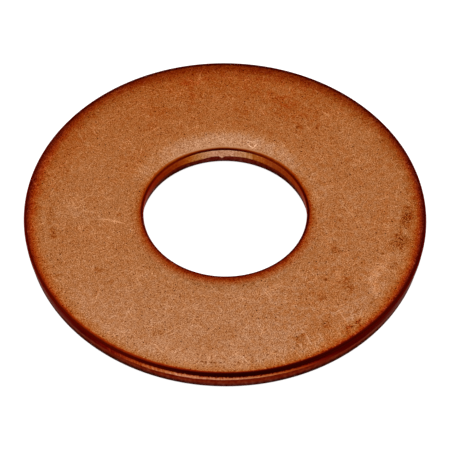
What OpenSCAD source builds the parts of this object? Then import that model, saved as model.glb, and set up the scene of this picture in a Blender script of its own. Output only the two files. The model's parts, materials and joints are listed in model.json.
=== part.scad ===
// Flat copper sealing washer, blanked and pierced from soft sheet in one stroke.
// The upper edges are rolled over by the tool. Below the roll each wall is sheared straight,
// and below that it is torn and leans back to a tumbled lower edge.
// Origin at the centre of the lower face, on the washer's axis. Millimetres, +Z up.

/* [Washer] */
// Outside diameter, across the sheared rim
outer_d = 35; // [32:0.1:50]
// Bore diameter, across the sheared wall
bore_d = 14.2; // [8:0.1:17]
// Thickness from face to face
thickness = 2.6; // [2.4:0.05:4]

/* [Rolled upper edges] */
// Width of the roll across the face, in from the wall
roll_w = 2.5; // [1.8:0.1:3.2]
// Drop from the face to the top of the sheared wall
roll_drop = 0.7; // [0.55:0.05:0.9]
// Radius of the nose that turns the roll down into the wall
nose_r = 0.4; // [0.2:0.05:0.5]

/* [Torn lower walls] */
// Height of the torn band on the rim
rim_torn_h = 1.3; // [0.6:0.05:1.5]
// Height of the torn band in the bore
bore_torn_h = 1; // [0.6:0.05:1.3]
// How far a torn band leans back by the time it meets the lower face
torn_lean = 0.3; // [0.05:0.01:0.4]
// Radius of the tumbled lower edges
edge_r = 0.35; // [0.1:0.05:0.5]

/* [Hidden] */
// Copper, as a fraction of red, green and blue
copper = [0.68, 0.42, 0.23];
// How far a cut runs past the metal that it takes off
over = 0.2;
// Steps in a full turn: of the washer, and of the arcs in its section
turn_fn = 240;
arc_fn = 144;

outer_r = outer_d / 2;
bore_r = bore_d / 2;
wall_top = thickness - roll_drop;
// Shoulder of the roll: the arc that leaves the face level and runs smoothly into the nose
shoulder_r = (roll_drop^2 - nose_r^2 + (roll_w - nose_r)^2) / (2 * (roll_drop - nose_r));
shoulder_end = shoulder_r * (roll_w - nose_r) / (shoulder_r - nose_r);

// The section is drawn with the wall at x = 0 and the metal at x < 0.
// On the rim that frame sits at the outer radius, and in the bore it is mirrored.
module at_rim() translate([outer_r, 0]) children();
module at_bore() translate([bore_r, 0]) mirror([1, 0]) children();

// What the roll takes off a square upper corner
module rolled_corner() {
    difference() {
        translate([-roll_w, wall_top]) square([roll_w + over, roll_drop + over]);
        intersection() {
            translate([-roll_w, thickness - shoulder_r]) circle(r = shoulder_r, $fn = arc_fn);
            translate([-roll_w, 0]) square([shoulder_end, thickness]);
        }
        translate([-nose_r, wall_top]) circle(r = nose_r, $fn = arc_fn);
    }
}

// What the tear and the tumbling take off a square lower corner
module torn_corner(torn_h) {
    lean = atan(torn_lean / torn_h);
    edge_x = -torn_lean * (1 - edge_r / torn_h) - edge_r / cos(lean);
    edge_top = [edge_x + edge_r * cos(lean), edge_r * (1 - sin(lean))];
    difference() {
        polygon([[0, torn_h], edge_top, [edge_x, edge_r], [edge_x, -over], [over, -over], [over, torn_h]]);
        translate([edge_x, edge_r]) circle(r = edge_r, $fn = arc_fn);
    }
}

// Half section of the washer: radius across, height up
module section() {
    difference() {
        translate([bore_r, 0]) square([outer_r - bore_r, thickness]);
        at_rim() rolled_corner();
        at_bore() rolled_corner();
        at_rim() torn_corner(rim_torn_h);
        at_bore() torn_corner(bore_torn_h);
    }
}

module washer() {
    color(copper) rotate_extrude($fn = turn_fn) section();
}

washer();
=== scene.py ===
"""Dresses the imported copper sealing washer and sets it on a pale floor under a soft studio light.

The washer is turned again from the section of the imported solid, with the jagged shear line and the torn
bands that stamping leaves. Lengths are in metres, except where a name ends in _mm.
"""

import json
import logging
import math
from collections.abc import Callable, Sequence
from dataclasses import dataclass
from enum import Enum
from typing import ClassVar

import bpy
import numpy as np
from mathutils import Matrix, Vector, noise


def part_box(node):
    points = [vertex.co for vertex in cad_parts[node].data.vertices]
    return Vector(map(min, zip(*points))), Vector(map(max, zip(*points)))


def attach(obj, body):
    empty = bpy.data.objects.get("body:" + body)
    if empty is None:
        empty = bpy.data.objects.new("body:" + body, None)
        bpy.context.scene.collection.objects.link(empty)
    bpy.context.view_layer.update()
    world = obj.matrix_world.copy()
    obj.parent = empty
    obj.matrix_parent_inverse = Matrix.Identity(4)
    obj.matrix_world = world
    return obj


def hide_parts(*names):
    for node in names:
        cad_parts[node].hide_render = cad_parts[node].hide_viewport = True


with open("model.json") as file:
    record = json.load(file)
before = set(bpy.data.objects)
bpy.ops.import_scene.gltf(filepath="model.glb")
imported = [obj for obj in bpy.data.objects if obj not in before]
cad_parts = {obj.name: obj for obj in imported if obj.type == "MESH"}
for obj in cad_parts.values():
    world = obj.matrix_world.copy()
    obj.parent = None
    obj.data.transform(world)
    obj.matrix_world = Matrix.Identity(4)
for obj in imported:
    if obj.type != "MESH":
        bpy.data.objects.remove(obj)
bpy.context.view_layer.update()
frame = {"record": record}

LOG = logging.getLogger("washer")
MM = 0.001
NODE = "washer"
BODY = "root"
# In degrees
QUARTER_TURN = 90.0
HALF_TURN = 180.0
FULL_TURN = 360.0

Value = float | Sequence[float] | bpy.types.NodeSocket
Sockets = dict[str, bpy.types.NodeSocket]
# The two ends of a change, and the four of one that starts, is full, fades and is over
Span = tuple[float, float]
Window = tuple[float, float, float, float]


def linear(red: int, green: int, blue: int) -> tuple[float, float, float, float]:
    """Turns a display colour into the linear colour that shaders take.

    Args:
        red: Red, from 0 to 255.
        green: Green, from 0 to 255.
        blue: Blue, from 0 to 255.

    Returns:
        Linear red, green and blue, and an alpha of 1.
    """

    def channel(level: int) -> float:
        """Undoes the display curve of one channel."""
        part = level / 255
        return part / 12.92 if part <= 0.04045 else ((part + 0.055) / 1.055) ** 2.4

    return channel(red), channel(green), channel(blue), 1.0


class Zone(Enum):
    """The finishes on the washer, in the order of its material slots."""

    TUMBLED = 0
    SHEARED = 1
    TORN = 2
    FOOT = 3


class Kind(Enum):
    """The kinds of socket that an effect has, by Blender's names."""

    NUMBER = "NodeSocketFloat"
    VECTOR = "NodeSocketVector"
    COLOUR = "NodeSocketColor"

    def each(self, *labels: str) -> "dict[str, Kind]":
        """Gives this kind to each of some sockets, by their names."""
        return dict.fromkeys(labels, self)


class Graph:
    """A shader tree written as calls that each return the socket they put out."""

    # Roughness of noise, its middle level, and what brings it to about -1 to 1
    NOISE_ROUGHNESS = 0.58
    NOISE_MIDDLE = 0.5
    NOISE_GAIN = 4.0

    def __init__(self, tree: bpy.types.NodeTree) -> None:
        """Takes the tree to write in."""
        self.tree = tree

    def feed(self, node: bpy.types.Node, inputs: dict[int | str, Value]) -> None:
        """Sets a node's inputs.

        Args:
            node: The node.
            inputs: What each input gets, by its index or name: a number, a colour or a socket to link.
        """
        for key, value in inputs.items():
            if isinstance(value, bpy.types.NodeSocket):
                self.tree.links.new(value, node.inputs[key])
            else:
                node.inputs[key].default_value = value

    def node(self, kind: str, inputs: dict[int | str, Value], **settings: object) -> bpy.types.Node:
        """Adds one node.

        Args:
            kind: Blender's name for the kind of node.
            inputs: What each input gets.
            settings: The node's own properties.

        Returns:
            The new node.
        """
        made = self.tree.nodes.new(kind)
        for name, setting in settings.items():
            setattr(made, name, setting)
        self.feed(made, inputs)
        return made

    def group(self, effect: bpy.types.NodeTree, inputs: dict[int | str, Value]) -> Sockets:
        """Places a shared effect.

        Args:
            effect: The effect's node group.
            inputs: What each input gets.

        Returns:
            The outputs, by name.
        """
        made = self.node("ShaderNodeGroup", {}, node_tree=effect)
        self.feed(made, inputs)
        return made.outputs

    def mask(self, effect: bpy.types.NodeTree, inputs: dict[int | str, Value]) -> bpy.types.NodeSocket:
        """Places a shared effect that puts out a mask."""
        return self.group(effect, inputs)["Mask"]

    def math(self, operation: str, *values: Value) -> bpy.types.NodeSocket:
        """Works out one number from up to three."""
        return self.node("ShaderNodeMath", dict(enumerate(values)), operation=operation).outputs[0]

    def total(self, first: Value, *others: Value) -> bpy.types.NodeSocket:
        """Adds up two or more numbers.

        Args:
            first: The first number.
            others: The numbers that are added to it.

        Returns:
            The sum.
        """
        for other in others:
            first = self.math("ADD", first, other)
        return first

    def times(self, first: Value, *others: Value) -> bpy.types.NodeSocket:
        """Multiplies two or more numbers.

        Args:
            first: The first number.
            others: The numbers that it is multiplied by.

        Returns:
            The product.
        """
        for other in others:
            first = self.math("MULTIPLY", first, other)
        return first

    def above(self, value: Value) -> bpy.types.NodeSocket:
        """Keeps a number from falling below zero."""
        return self.math("MAXIMUM", value, 0.0)

    def vector(self, operation: str, *values: Value) -> bpy.types.NodeSocket:
        """Works out one vector from up to three."""
        made = self.node("ShaderNodeVectorMath", dict(enumerate(values)), operation=operation)
        return made.outputs["Vector"]

    def dot(self, one: Value, other: Value) -> bpy.types.NodeSocket:
        """Gives how far one vector runs along another."""
        made = self.node("ShaderNodeVectorMath", {0: one, 1: other}, operation="DOT_PRODUCT")
        return made.outputs["Value"]

    def split(self, vector: Value) -> list[bpy.types.NodeSocket]:
        """Parts a vector or a colour into its three numbers."""
        return list(self.node("ShaderNodeSeparateXYZ", {0: vector}).outputs)

    def join(self, *numbers: Value) -> bpy.types.NodeSocket:
        """Makes a vector of up to three numbers."""
        return self.node("ShaderNodeCombineXYZ", dict(enumerate(numbers))).outputs[0]

    def length(self, *numbers: Value) -> bpy.types.NodeSocket:
        """Gives the length of a vector of two or more numbers."""
        return self.math("SQRT", self.total(*(self.times(number, number) for number in numbers)))

    def step(self, value: Value, start: Value, end: Value) -> bpy.types.NodeSocket:
        """Runs smoothly from 0 to 1 while a number goes from start to end, which may lie either way."""
        inputs = {0: value, 1: start, 2: end, 3: 0.0, 4: 1.0}
        return self.node("ShaderNodeMapRange", inputs, interpolation_type="SMOOTHSTEP").outputs[0]

    def window(
        self, value: Value, start: float, full: float, fade: float, end: float
    ) -> bpy.types.NodeSocket:
        """Runs smoothly from 0 to 1 between start and full, and back to 0 between fade and end."""
        return self.times(self.step(value, start, full), self.step(value, end, fade))

    def mix(self, one: Value, other: Value, share: Value) -> bpy.types.NodeSocket:
        """Goes from one number to another by a share."""
        return self.node("ShaderNodeMix", {0: share, 2: one, 3: other}, data_type="FLOAT").outputs[0]

    def noise(self, position: Value, scale: Value, detail: float) -> bpy.types.NodeSocket:
        """Gives smooth noise.

        Args:
            position: Position of the place asked for.
            scale: Waves along a unit of length.
            detail: Finer layers that are added.

        Returns:
            The noise, about -1 to 1.
        """
        inputs = {"Vector": position, "Scale": scale, "Detail": detail, "Roughness": self.NOISE_ROUGHNESS}
        level = self.node("ShaderNodeTexNoise", inputs).outputs["Fac"]
        return self.times(self.math("SUBTRACT", level, self.NOISE_MIDDLE), self.NOISE_GAIN)

    def cells(self, position: Value, scale: Value) -> tuple[bpy.types.NodeSocket, ...]:
        """Scatters points over a plane.

        Args:
            position: Position of the place asked for.
            scale: Points along a unit of length.

        Returns:
            Distance to the nearest point, and two chance numbers of that point, from 0 to 1.
        """
        inputs = {"Vector": position, "Scale": scale}
        made = self.node("ShaderNodeTexVoronoi", inputs, voronoi_dimensions="2D")
        pick, weight, _ = self.split(made.outputs["Color"])
        return made.outputs["Distance"], pick, weight


def make_effect(
    name: str,
    inputs: dict[str, Kind],
    outputs: dict[str, Kind],
    fill: Callable[[Graph, Sockets], Sockets],
) -> bpy.types.NodeTree:
    """Builds one shared effect as a node group.

    Args:
        name: The group's name.
        inputs: Each input's name and kind. An input that a material leaves out is zero.
        outputs: Each output's name and kind.
        fill: Writes the effect: takes the graph and the inputs, and gives a socket for each output.

    Returns:
        The node group.
    """
    tree = bpy.data.node_groups.new(name, "ShaderNodeTree")
    for way, ends in (("INPUT", inputs), ("OUTPUT", outputs)):
        for label, kind in ends.items():
            tree.interface.new_socket(label, in_out=way, socket_type=kind.value)
    entry = tree.nodes.new("NodeGroupInput")
    leave = tree.nodes.new("NodeGroupOutput")
    given = {label: entry.outputs[label] for label in inputs}
    for label, socket in fill(Graph(tree), given).items():
        tree.links.new(socket, leave.inputs[label])
    return tree


class Effects:
    """The effects that the finishes share, each one a node group. Their lengths are in mm."""

    BLACK = (0.0, 0.0, 0.0)
    GAMMA = 2.2
    # Least slope that faces some way, and how far to each side of the middle the rim's mask fades, in mm
    LEAST_SLOPE = 0.02
    MIDDLE_FADE = 1.0
    # Patches in a mm of the mottling and of the clouds, and the detail of those and of the grain
    MOTTLE_SCALE = 1.9
    CLOUD_SCALE = 0.4
    PATCH_DETAIL = 4.0
    GRAIN_DETAIL = 2.0
    # Bends in a mm of a scratch, their detail, and how far they reach in mm
    BEND_SCALE = 0.25
    BEND_DETAIL = 1.0
    BEND = 0.3
    # Where a scratch starts and is full, as shares of its spacing, and the strength of the faintest
    HAIR_SPAN = (0.28, 0.06)
    HAIR_LEAST = 0.3
    # The smallest speck and the dark core of a speck, as shares of its size
    SPECK_LEAST = 0.5
    SPECK_CORE = 0.4
    # Where a mark starts and is full, as shares of its half size
    MARK_SPAN = (1.3, 0.2)
    # Copper from tarnished dark to bright bare metal, the dark end also painted shade and the bright end
    # painted highlight: place along the tone scale, and display colour
    TONES = (
        (0.0, (28, 1, 0)),
        (0.12, (74, 6, 2)),
        (0.22, (112, 20, 3)),
        (0.32, (145, 41, 3)),
        (0.42, (161, 62, 7)),
        (0.52, (165, 83, 26)),
        (0.62, (172, 101, 49)),
        (0.7, (175, 111, 64)),
        (0.8, (185, 130, 92)),
        (0.9, (202, 148, 112)),
        (1.0, (230, 182, 148)),
    )

    def __init__(self, middle_mm: float) -> None:
        """Builds every effect once.

        Args:
            middle_mm: Radius that parts the rim's side of the washer from the bore's.
        """
        self.middle_mm = middle_mm
        mask = Kind.NUMBER.each("Mask")
        position = Kind.VECTOR.each("Position")
        place = position | Kind.NUMBER.each("Angle", "Height", "Tilt", "Facing", "Side", "Rim")
        self.place = make_effect("place", {}, place, self.fill_place)
        paint = Kind.NUMBER.each("Tone", "Shade", "Dull", "Pink")
        self.tone = make_effect("copper_tone", paint, Kind.COLOUR.each("Color"), self.fill_tone)
        arc = Kind.NUMBER.each("Angle", "Centre", "Half", "Fade")
        self.arc = make_effect("arc", arc, mask, self.fill_arc)
        grain = position | Kind.NUMBER.each("Fineness")
        levels = Kind.NUMBER.each("Fine", "Mottle", "Cloud")
        self.grain = make_effect("grain", grain, levels, self.fill_grain)
        hair = position | Kind.NUMBER.each("Turn", "Seed", "Length", "Width", "Share")
        self.hair = make_effect("hairline", hair, mask, self.fill_hair)
        speck = position | Kind.NUMBER.each("Spacing", "Size", "Share")
        self.speck = make_effect("speck", speck, mask, self.fill_speck)
        mark = Kind.VECTOR.each("Position", "Centre", "Along", "Across") | Kind.NUMBER.each("Edge")
        self.mark = make_effect("mark", mark, mask, self.fill_mark)

    def fill_place(self, graph: Graph, given: Sockets) -> Sockets:
        """Gives where a point is on the washer and which way its surface slopes, in mm and degrees.

        Args:
            graph: The group's graph.
            given: The group's inputs, none here.

        Returns:
            Position, angle from +X, height, tilt from level, how far the slope faces -Y and +X, and a
            mask of the rim's side.
        """
        coordinates = graph.node("ShaderNodeTexCoord", {}).outputs
        position = graph.vector("MULTIPLY", coordinates["Object"], (1 / MM, 1 / MM, 1 / MM))
        x, y, z = graph.split(position)
        across, along, up = graph.split(coordinates["Normal"])
        level = graph.length(across, along)
        sloped = graph.math("MAXIMUM", level, self.LEAST_SLOPE)
        radius = graph.length(x, y)
        turn = graph.math("DEGREES", graph.math("ARCTAN2", y, x))
        return {
            "Position": position,
            "Angle": graph.math("FLOORED_MODULO", turn, FULL_TURN),
            "Height": z,
            "Tilt": graph.math("DEGREES", graph.math("ARCTAN2", level, up)),
            "Facing": graph.math("DIVIDE", graph.times(along, -1.0), sloped),
            "Side": graph.math("DIVIDE", across, sloped),
            "Rim": graph.step(radius, self.middle_mm - self.MIDDLE_FADE, self.middle_mm + self.MIDDLE_FADE),
        }

    def fill_tone(self, graph: Graph, given: Sockets) -> Sockets:
        """Gives the copper colour of a tone and a shade.

        Args:
            graph: The group's graph.
            given: The tone, from 0 for dark copper and painted shade to 1 for bright bare copper and painted
            highlight, the shade, which lightens or darkens that colour by a share of the display's range,
            the share of red that is lost, and the share of the display's range that blue gains.

        Returns:
            The colour.
        """
        ramp = graph.node("ShaderNodeValToRGB", {0: given["Tone"]})
        elements = ramp.color_ramp.elements
        halfway = 0.5
        while len(elements) < len(self.TONES):
            elements.new(halfway)
        for element, (place, shade) in zip(elements, self.TONES):
            element.position = place
            element.color = linear(*shade)
        shown = graph.node("ShaderNodeGamma", {0: ramp.outputs["Color"], 1: 1 / self.GAMMA}).outputs[0]
        kept = graph.join(graph.math("SUBTRACT", 1.0, given["Dull"]), 1.0, 1.0)
        added = graph.join(given["Shade"], given["Shade"], graph.total(given["Shade"], given["Pink"]))
        shaded = graph.vector("ADD", graph.vector("MULTIPLY", shown, kept), added)
        shaded = graph.vector("MAXIMUM", shaded, self.BLACK)
        return {"Color": graph.node("ShaderNodeGamma", {0: shaded, 1: self.GAMMA}).outputs[0]}

    def fill_arc(self, graph: Graph, given: Sockets) -> Sockets:
        """Marks an arc of the washer.

        Args:
            graph: The group's graph.
            given: Angle of the point, and the arc's centre, half width and fade, in degrees.

        Returns:
            A mask that is 1 inside the arc.
        """
        off = graph.total(graph.math("SUBTRACT", given["Angle"], given["Centre"]), HALF_TURN)
        off = graph.math("SUBTRACT", graph.math("FLOORED_MODULO", off, FULL_TURN), HALF_TURN)
        outside = graph.total(given["Half"], given["Fade"])
        return {"Mask": graph.step(graph.math("ABSOLUTE", off), outside, given["Half"])}

    def fill_grain(self, graph: Graph, given: Sockets) -> Sockets:
        """Gives the fine grain of the metal, its mottling and its broad clouds, each about -1 to 1.

        Args:
            graph: The group's graph.
            given: Position, and grains in a millimetre.

        Returns:
            The grain, the mottling and the clouds.
        """
        position = given["Position"]
        return {
            "Fine": graph.noise(position, given["Fineness"], self.GRAIN_DETAIL),
            "Mottle": graph.noise(position, self.MOTTLE_SCALE, self.PATCH_DETAIL),
            "Cloud": graph.noise(position, self.CLOUD_SCALE, self.PATCH_DETAIL),
        }

    def fill_hair(self, graph: Graph, given: Sockets) -> Sockets:
        """Scatters fine scratches that all run about one way.

        Args:
            graph: The group's graph.
            given: Position, direction in degrees, spacing along and across, the share of places that
                have a scratch, and an offset that sets one layer apart from the next.

        Returns:
            A mask of the scratches.
        """
        bend = graph.times(graph.noise(given["Position"], self.BEND_SCALE, self.BEND_DETAIL), self.BEND)
        inputs = {"Vector": given["Position"], "Angle": graph.math("RADIANS", given["Turn"])}
        turned = graph.node("ShaderNodeVectorRotate", inputs, rotation_type="Z_AXIS").outputs[0]
        x, y, _ = graph.split(turned)
        along = graph.total(graph.math("DIVIDE", x, given["Length"]), given["Seed"])
        across = graph.math("DIVIDE", graph.total(y, bend), given["Width"])
        away, pick, weight = graph.cells(graph.join(along, across), 1.0)
        shown = graph.math("LESS_THAN", pick, given["Share"])
        line = graph.step(away, *self.HAIR_SPAN)
        return {"Mask": graph.times(line, shown, graph.mix(self.HAIR_LEAST, 1.0, weight))}

    def fill_speck(self, graph: Graph, given: Sockets) -> Sockets:
        """Scatters small round specks over a face.

        Args:
            graph: The group's graph.
            given: Position, spacing, size, and the share of places that have a speck.

        Returns:
            A mask of the specks.
        """
        scale = graph.math("DIVIDE", 1.0, given["Spacing"])
        away, pick, weight = graph.cells(given["Position"], scale)
        size = graph.times(given["Size"], graph.total(weight, self.SPECK_LEAST), scale)
        spot = graph.step(away, size, graph.times(size, self.SPECK_CORE))
        return {"Mask": graph.times(spot, graph.math("LESS_THAN", pick, given["Share"]))}

    def fill_mark(self, graph: Graph, given: Sockets) -> Sockets:
        """Places one mark with a soft and ragged outline.

        Args:
            graph: The group's graph.
            given: Position, how far the outline is pushed in or out there, the mark's centre, and its
                directions along and across, each over its half size.

        Returns:
            A mask of the mark.
        """
        off = graph.vector("SUBTRACT", given["Position"], given["Centre"])
        away = graph.length(graph.dot(off, given["Along"]), graph.dot(off, given["Across"]))
        return {"Mask": graph.step(graph.total(away, given["Edge"]), *self.MARK_SPAN)}


class Coat(Graph):
    """A copper material in the making, with the shared effects and where the point to paint is."""

    BUMP_STRENGTH = 0.5

    def __init__(
        self, effects: Effects, name: str, roughness: float, edge_tint: tuple[float, float, float]
    ) -> None:
        """Starts the material.

        Args:
            effects: The shared effects.
            name: The material's name.
            roughness: Its roughness.
            edge_tint: Colour of its reflections at a low angle.
        """
        self.material = bpy.data.materials.new(name)
        self.material.use_nodes = True
        super().__init__(self.material.node_tree)
        self.shader = self.tree.nodes["Principled BSDF"]
        self.feed(self.shader, {"Metallic": 1.0, "Roughness": roughness, "Specular Tint": (*edge_tint, 1.0)})
        self.effects = effects
        self.place = self.group(effects.place, {})

    def by_wall(self, bore: Value, rim: Value) -> bpy.types.NodeSocket:
        """Takes one number on the bore's side of the washer and another on the rim's."""
        return self.mix(bore, rim, self.place["Rim"])

    def colour(self, paint: dict[str, Value]) -> None:
        """Paints the shader with the copper colour of a tone, a shade, a loss of red and a gain of blue."""
        self.feed(self.shader, {"Base Color": self.group(self.effects.tone, paint)["Color"]})

    def bump(self, height: Value, depth: float) -> None:
        """Raises a height, from 0 to 1, on the surface."""
        inputs = {"Strength": self.BUMP_STRENGTH, "Distance": depth, "Height": height}
        self.feed(self.shader, {"Normal": self.node("ShaderNodeBump", inputs).outputs[0]})


@dataclass(frozen=True)
class Mark:
    """One stain, scrape or lighter place on the upper face.

    Attributes:
        x_mm: Place along X.
        y_mm: Place along Y.
        length_mm: Length.
        width_mm: Width.
        turn: Direction of the length, in degrees from +X.
        level: How far it lightens the copper; below zero it darkens.
    """

    x_mm: float
    y_mm: float
    length_mm: float
    width_mm: float
    turn: float
    level: float

    def inputs(self, position: Value, edge: Value) -> dict[str, Value]:
        """Gives the inputs of its mark effect.

        Args:
            position: Position of the point.
            edge: How far the outline is pushed in or out there.

        Returns:
            The inputs, by name.
        """
        cos, sin = math.cos(math.radians(self.turn)), math.sin(math.radians(self.turn))
        long, wide = 2 / self.length_mm, 2 / self.width_mm
        return {
            "Position": position,
            "Edge": edge,
            "Centre": (self.x_mm, self.y_mm, 0.0),
            "Along": (cos * long, sin * long, 0.0),
            "Across": (-sin * wide, cos * wide, 0.0),
        }


def marks_along(
    radius_mm: float, angles: Sequence[float], length_mm: float, width_mm: float, level: float
) -> tuple[Mark, ...]:
    """Lays like marks along an arc of the face, each one along the arc.

    Args:
        radius_mm: Radius of the arc.
        angles: Place of each mark round it, in degrees from +X.
        length_mm: Length of a mark.
        width_mm: Width of a mark.
        level: How far a mark lightens the copper.

    Returns:
        The marks.
    """
    marks = []
    for angle in angles:
        x = radius_mm * math.cos(math.radians(angle))
        y = radius_mm * math.sin(math.radians(angle))
        marks.append(Mark(x, y, length_mm, width_mm, angle + QUARTER_TURN, level))
    return tuple(marks)


# Rust marks, which darken the face in specks
RUST = (
    Mark(15.7, -1.0, 3.0, 1.1, 84, -0.14),
    Mark(14.95, -3.5, 2.2, 1.5, 60, -0.14),
    Mark(14.4, -6.2, 1.0, 0.8, 50, -0.1),
    Mark(9.5, -4.6, 1.4, 1.0, 110, -0.08),
    Mark(9.8, -1.3, 0.7, 0.5, 0, -0.06),
    Mark(10.5, -8.3, 1.9, 1.1, 120, -0.08),
    Mark(8.2, -9.7, 1.0, 0.7, 30, -0.1),
    Mark(8.5, -12.5, 1.1, 0.8, 0, -0.1),
    Mark(6.4, -13.9, 1.3, 0.9, 20, -0.08),
    Mark(11.6, -10.7, 4.2, 0.3, 35, -0.06),
    Mark(10.6, -12.6, 0.9, 0.34, 22, -0.22),
    Mark(11.15, -12.1, 0.8, 0.3, 32, -0.22),
    Mark(-5.5, -13.6, 1.2, 0.8, 0, -0.08),
    Mark(-14.8, -3.1, 1.6, 0.6, 100, -0.09),
    Mark(-15.1, -1.0, 2.6, 0.8, 95, -0.06),
    Mark(-9.2, -0.9, 0.6, 0.4, 60, -0.1),
    Mark(-13.9, -6.2, 0.9, 0.7, 0, -0.07),
    Mark(-14.0, -7.5, 0.7, 0.5, 0, -0.08),
    Mark(-10.7, -7.0, 1.0, 0.6, -20, -0.06),
    Mark(-9.7, -8.3, 0.7, 0.5, 0, -0.06),
    Mark(6.5, 9.3, 0.9, 0.6, 30, -0.08),
    Mark(8.2, 9.5, 1.0, 0.4, 80, -0.08),
)
# Broad stains and lighter patches
STAINS = (
    Mark(8.6, -9.2, 9.0, 4.5, 45, -0.07),
    Mark(8.6, -12.9, 6.0, 3.0, 32, -0.09),
    Mark(-14.6, 5.6, 13.0, 3.6, 68, -0.1),
    Mark(-11.4, -0.9, 5.5, 2.6, -6, 0.05),
    Mark(11.0, 8.4, 6.0, 3.0, -50, 0.05),
    Mark(14.9, -4.2, 3.0, 1.6, 70, 0.03),
    Mark(-8.3, 4.7, 5.0, 2.0, 60, -0.06),
    Mark(-3.4, 14.5, 1.8, 1.1, 0, -0.08),
    Mark(-3.2, 12.8, 3.0, 0.9, 95, -0.08),
    Mark(-6.2, 11.0, 3.8, 1.7, -15, -0.07),
    Mark(-6.6, 9.4, 2.2, 1.0, 100, -0.06),
    Mark(4.6, 12.6, 3.4, 1.4, -20, -0.07),
    Mark(6.0, 11.2, 4.4, 2.4, -10, -0.07),
    Mark(1.4, 11.3, 2.0, 1.4, 40, -0.05),
)
# Short scrapes and single dark pits
SCRAPES = (
    Mark(8.56, -7.8, 0.4, 0.26, 50, -0.19),
    Mark(13.5, -4.9, 0.4, 0.3, 0, -0.15),
    Mark(2.2, 7.24, 0.7, 0.12, -40, 0.3),
    Mark(2.6, 7.28, 0.6, 0.12, 50, 0.3),
    Mark(-9.6, -1.6, 2.1, 0.36, -13, 0.08),
    Mark(-9.2, -1.75, 1.4, 0.16, -14, 0.08),
    Mark(-10.2, -1.45, 1.6, 0.14, -3, 0.07),
    Mark(-10.8, -2.1, 0.7, 0.14, -22, 0.08),
    Mark(-11.45, -0.65, 1.5, 0.22, -9, 0.09),
    Mark(-12.9, -1.25, 1.3, 0.3, 17, 0.05),
    Mark(-8.2, -2.5, 1.4, 0.2, -12, 0.06),
    Mark(13.3, -6.4, 3.6, 1.1, 62, 0.05),
    Mark(12.8, -8.6, 2.4, 0.9, 100, 0.06),
    Mark(14.0, -2.1, 1.5, 0.7, 80, 0.04),
    Mark(9.6, -7.1, 1.6, 0.5, 95, 0.05),
    Mark(3.2, -8.0, 0.9, 0.14, 60, 0.09),
    Mark(3.5, -8.1, 0.8, 0.14, 60, 0.09),
    Mark(4.9, 14.0, 2.8, 1.3, -15, 0.03),
    Mark(8.9, 11.0, 2.2, 0.14, -35, 0.08),
    Mark(11.0, 7.8, 1.4, 0.14, 80, 0.08),
)
# Small dents of the tool along the near roll
TOOL_MARKS = marks_along(
    radius_mm=16.45,
    angles=(263.7, 264.8, 266.3, 267.4, 269.2, 274.3, 276.1, 279.6, 281.5),
    length_mm=0.24,
    width_mm=0.14,
    level=-0.22,
)


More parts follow.
